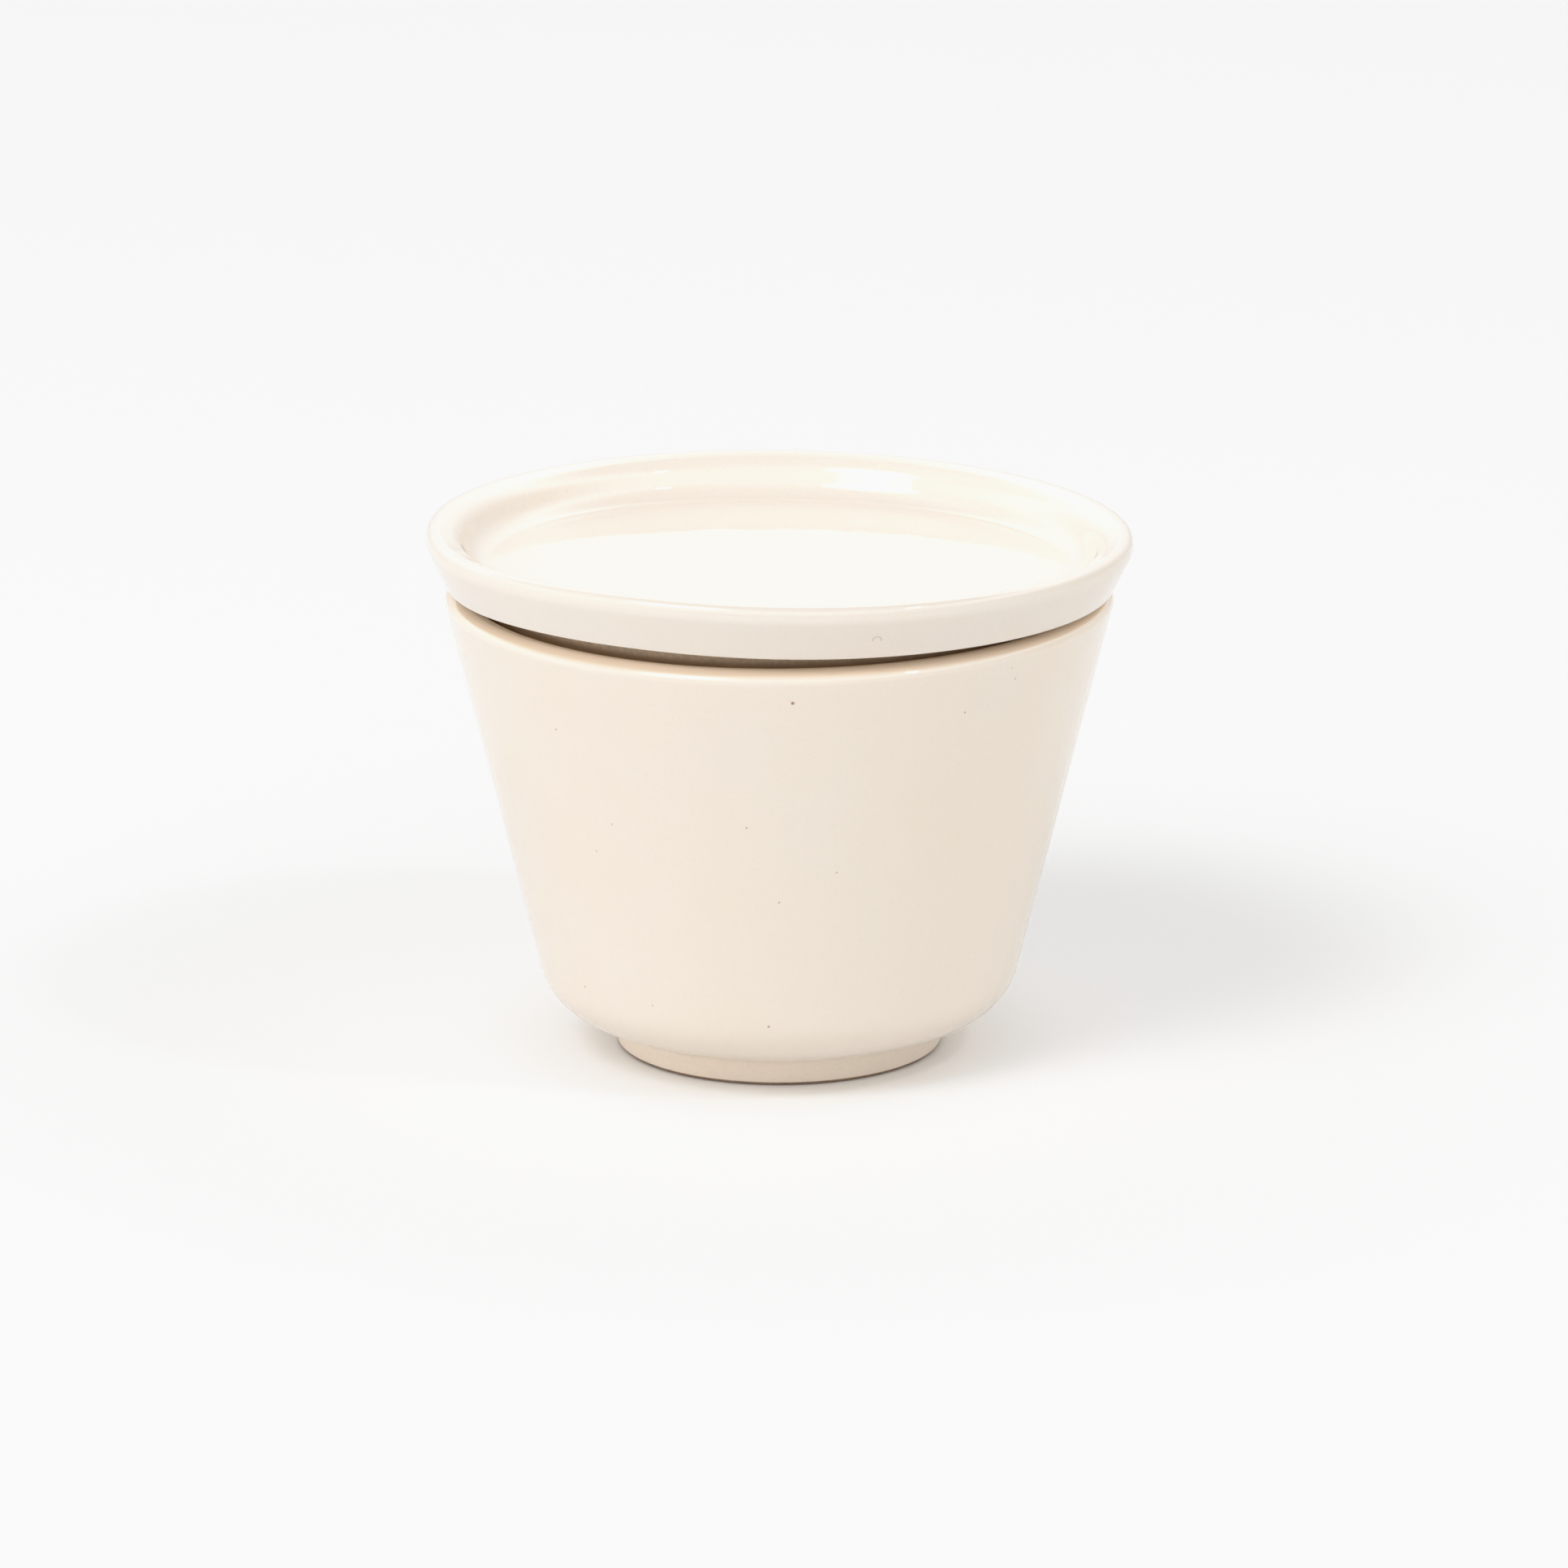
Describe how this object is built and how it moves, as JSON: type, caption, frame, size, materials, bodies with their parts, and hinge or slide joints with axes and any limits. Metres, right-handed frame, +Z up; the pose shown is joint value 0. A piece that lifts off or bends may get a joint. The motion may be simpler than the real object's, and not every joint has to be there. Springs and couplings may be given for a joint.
{
  "type": "lidded crucible",
  "caption": "Tapered glazed porcelain crucible on a low foot ring, with a loose dish-shaped lid that lifts off its rounded rim.",
  "frame": {"origin": "centre of the foot ring's base, on the surface that the crucible stands on", "axes": "+Z up along the cup's axis, from the foot to the lid; -Y is the front that the picture shows; the cup is round, so X and Y differ only by the lid's slight tilt"},
  "size_m": [0.09, 0.09, 0.0689],
  "materials": {
    "cup_glaze": "gloss",
    "lid_glaze": "gloss"
  },
  "bodies": {
    "cup": {"cup": "cup_glaze"},
    "lid": {"lid": "lid_glaze"}
  },
  "joints": [
    {"name": "lid_lift", "type": "slide", "parent": "cup", "child": "lid", "axis": [0, 0, 1], "range_m": [0, 0.06]}
  ]
}
